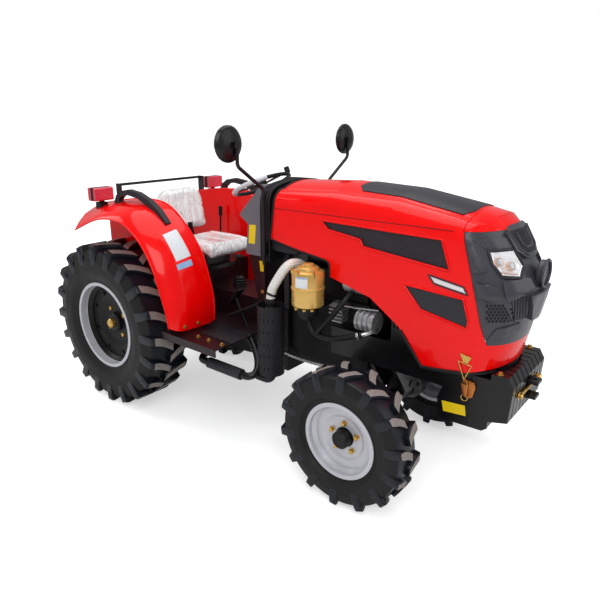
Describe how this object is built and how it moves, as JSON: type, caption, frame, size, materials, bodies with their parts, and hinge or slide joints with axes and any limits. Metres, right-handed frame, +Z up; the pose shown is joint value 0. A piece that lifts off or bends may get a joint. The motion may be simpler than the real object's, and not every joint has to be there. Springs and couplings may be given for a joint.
{
  "type": "farm tractor",
  "caption": "Compact four-wheel-drive open-platform farm tractor with tilting hood, steered driven front axle, rear three-point linkage, front weights and tow clevis.",
  "frame": {"origin": "centre of the machine's box, on the ground", "axes": "+X forward, +Y to the driver's left, +Z up"},
  "size_m": [3.7049, 1.505, 2.022],
  "materials": {
    "black_paint": "satin",
    "cast_black": "satin",
    "cowl_grey": "satin",
    "dark_mesh": "matt",
    "dark_plastic": "satin",
    "disc_black": "satin",
    "gold_plating": "gloss",
    "grey_plastic": "satin",
    "heat_black": "matt",
    "heat_wrap": "satin",
    "lamp_clear": "gloss",
    "lamp_red": "gloss",
    "mirror_glass": "gloss",
    "plum_paint": "satin",
    "raw_aluminium": "satin",
    "red_paint": "gloss",
    "rim_silver": "satin",
    "rubber_black": "matt",
    "seat_vinyl": "gloss",
    "tyre_rubber": "matt"
  },
  "bodies": {
    "chassis": {"air_canister": "gold_plating", "canister_bowl": "cast_black", "console": "plum_paint", "dash_cowl": "cowl_grey", "engine": "cast_black", "engine_fittings": "raw_aluminium", "exhaust_can": "heat_black", "exhaust_pipe": "heat_wrap", "fender_lamps": "cast_black", "fender_lenses": "lamp_red", "fenders": "red_paint", "front_axle": "black_paint", "front_frame": "black_paint", "front_weights": "black_paint", "fuel_tank": "dark_plastic", "grab_rails": "dark_plastic", "hoses": "rubber_black", "latches": "gold_plating", "levers": "cast_black", "mirror_glass": "mirror_glass", "mirrors": "cast_black", "pedals": "cast_black", "platform": "plum_paint", "radiator": "black_paint", "rubber_arch": "rubber_black", "seat_back": "seat_vinyl", "seat_base": "seat_vinyl", "seat_cushion": "seat_vinyl", "steps": "black_paint", "transmission": "black_paint"},
    "hood": {"grille_mask": "grey_plastic", "headlamps": "lamp_clear", "hood_band": "red_paint", "hood_inlay": "dark_plastic", "hood_mesh": "dark_mesh", "hood_sides": "red_paint", "hood_top": "red_paint", "marker_lamps": "lamp_clear"},
    "steering_wheel": {"steering_wheel": "rubber_black"},
    "tie_rod": {"tie_rod": "black_paint"},
    "lift_arms": {"lift_arms": "black_paint"},
    "rear_wheel_right": {"rear_disc_right": "disc_black", "rear_rim_right": "rim_silver", "rear_tyre_right": "tyre_rubber"},
    "front_wheel_right": {"front_hub_right": "cast_black", "front_rim_right": "rim_silver", "front_tyre_right": "tyre_rubber"},
    "knuckle_right": {"knuckle_right": "black_paint"},
    "lift_rod_right": {"lift_rod_right": "black_paint"},
    "lower_link_right": {"lower_link_right": "black_paint"},
    "rear_wheel_left": {"rear_disc_left": "disc_black", "rear_rim_left": "rim_silver", "rear_tyre_left": "tyre_rubber"},
    "front_wheel_left": {"front_hub_left": "cast_black", "front_rim_left": "rim_silver", "front_tyre_left": "tyre_rubber"},
    "knuckle_left": {"knuckle_left": "black_paint"},
    "lift_rod_left": {"lift_rod_left": "black_paint"},
    "lower_link_left": {"lower_link_left": "black_paint"}
  },
  "joints": [
    {"name": "rear_wheel_right_roll", "type": "hinge", "parent": "chassis", "child": "rear_wheel_right", "pos_m": [-1.0025, -0.58, 0.605], "axis": [0, 1, 0], "continuous": true},
    {"name": "kingpin_right", "type": "hinge", "parent": "chassis", "child": "knuckle_right", "pos_m": [1.0475, -0.47, 0.43], "axis": [0, 0, 1], "range_deg": [-35, 35]},
    {"name": "front_wheel_right_roll", "type": "hinge", "parent": "knuckle_right", "child": "front_wheel_right", "pos_m": [1.0475, -0.57, 0.4], "axis": [0, 1, 0], "continuous": true},
    {"name": "rear_wheel_left_roll", "type": "hinge", "parent": "chassis", "child": "rear_wheel_left", "pos_m": [-1.0025, 0.58, 0.605], "axis": [0, 1, 0], "continuous": true},
    {"name": "kingpin_left", "type": "hinge", "parent": "chassis", "child": "knuckle_left", "pos_m": [1.0475, 0.47, 0.43], "axis": [0, 0, 1], "range_deg": [-35, 35]},
    {"name": "front_wheel_left_roll", "type": "hinge", "parent": "knuckle_left", "child": "front_wheel_left", "pos_m": [1.0475, 0.57, 0.4], "axis": [0, 1, 0], "continuous": true},
    {"name": "tie_rod_pivot", "type": "hinge", "parent": "knuckle_right", "child": "tie_rod", "pos_m": [0.9125, -0.47, 0.473], "axis": [0, 0, 1], "range_deg": [-35, 35]},
    {"name": "steering_column_turn", "type": "hinge", "parent": "chassis", "child": "steering_wheel", "pos_m": [-0.0675, 0, 1.632], "axis": [-0.4067, 0, 0.9135], "range_deg": [-455, 455]},
    {"name": "hood_hinge_tilt", "type": "hinge", "parent": "chassis", "child": "hood", "pos_m": [0.3155, 0, 1.652], "axis": [0, -1, 0], "range_deg": [0, 45]},
    {"name": "lift_shaft_turn", "type": "hinge", "parent": "chassis", "child": "lift_arms", "pos_m": [-1.1525, 0, 0.905], "axis": [0, 1, 0], "range_deg": [-8, 40]},
    {"name": "lift_rod_right_pivot", "type": "hinge", "parent": "lift_arms", "child": "lift_rod_right", "pos_m": [-1.4184, -0.263, 0.95188], "axis": [0, 1, 0], "range_deg": [-34.4, 6.88]},
    {"name": "lower_link_right_pivot", "type": "hinge", "parent": "chassis", "child": "lower_link_right", "pos_m": [-0.9425, -0.29, 0.42], "axis": [0, 1, 0], "range_deg": [-4.08, 20.4]},
    {"name": "lift_rod_left_pivot", "type": "hinge", "parent": "lift_arms", "child": "lift_rod_left", "pos_m": [-1.4184, 0.263, 0.95188], "axis": [0, 1, 0], "range_deg": [-34.4, 6.88]},
    {"name": "lower_link_left_pivot", "type": "hinge", "parent": "chassis", "child": "lower_link_left", "pos_m": [-0.9425, 0.29, 0.42], "axis": [0, 1, 0], "range_deg": [-4.08, 20.4]}
  ],
  "couplings": [
    {"joint": "kingpin_left", "follows": "kingpin_right", "ratio": 1},
    {"joint": "tie_rod_pivot", "follows": "kingpin_right", "ratio": -1},
    {"joint": "steering_column_turn", "follows": "kingpin_right", "ratio": 13},
    {"joint": "lift_rod_right_pivot", "follows": "lift_shaft_turn", "ratio": -0.86},
    {"joint": "lower_link_right_pivot", "follows": "lift_shaft_turn", "ratio": 0.51},
    {"joint": "lift_rod_left_pivot", "follows": "lift_shaft_turn", "ratio": -0.86},
    {"joint": "lower_link_left_pivot", "follows": "lift_shaft_turn", "ratio": 0.51}
  ]
}
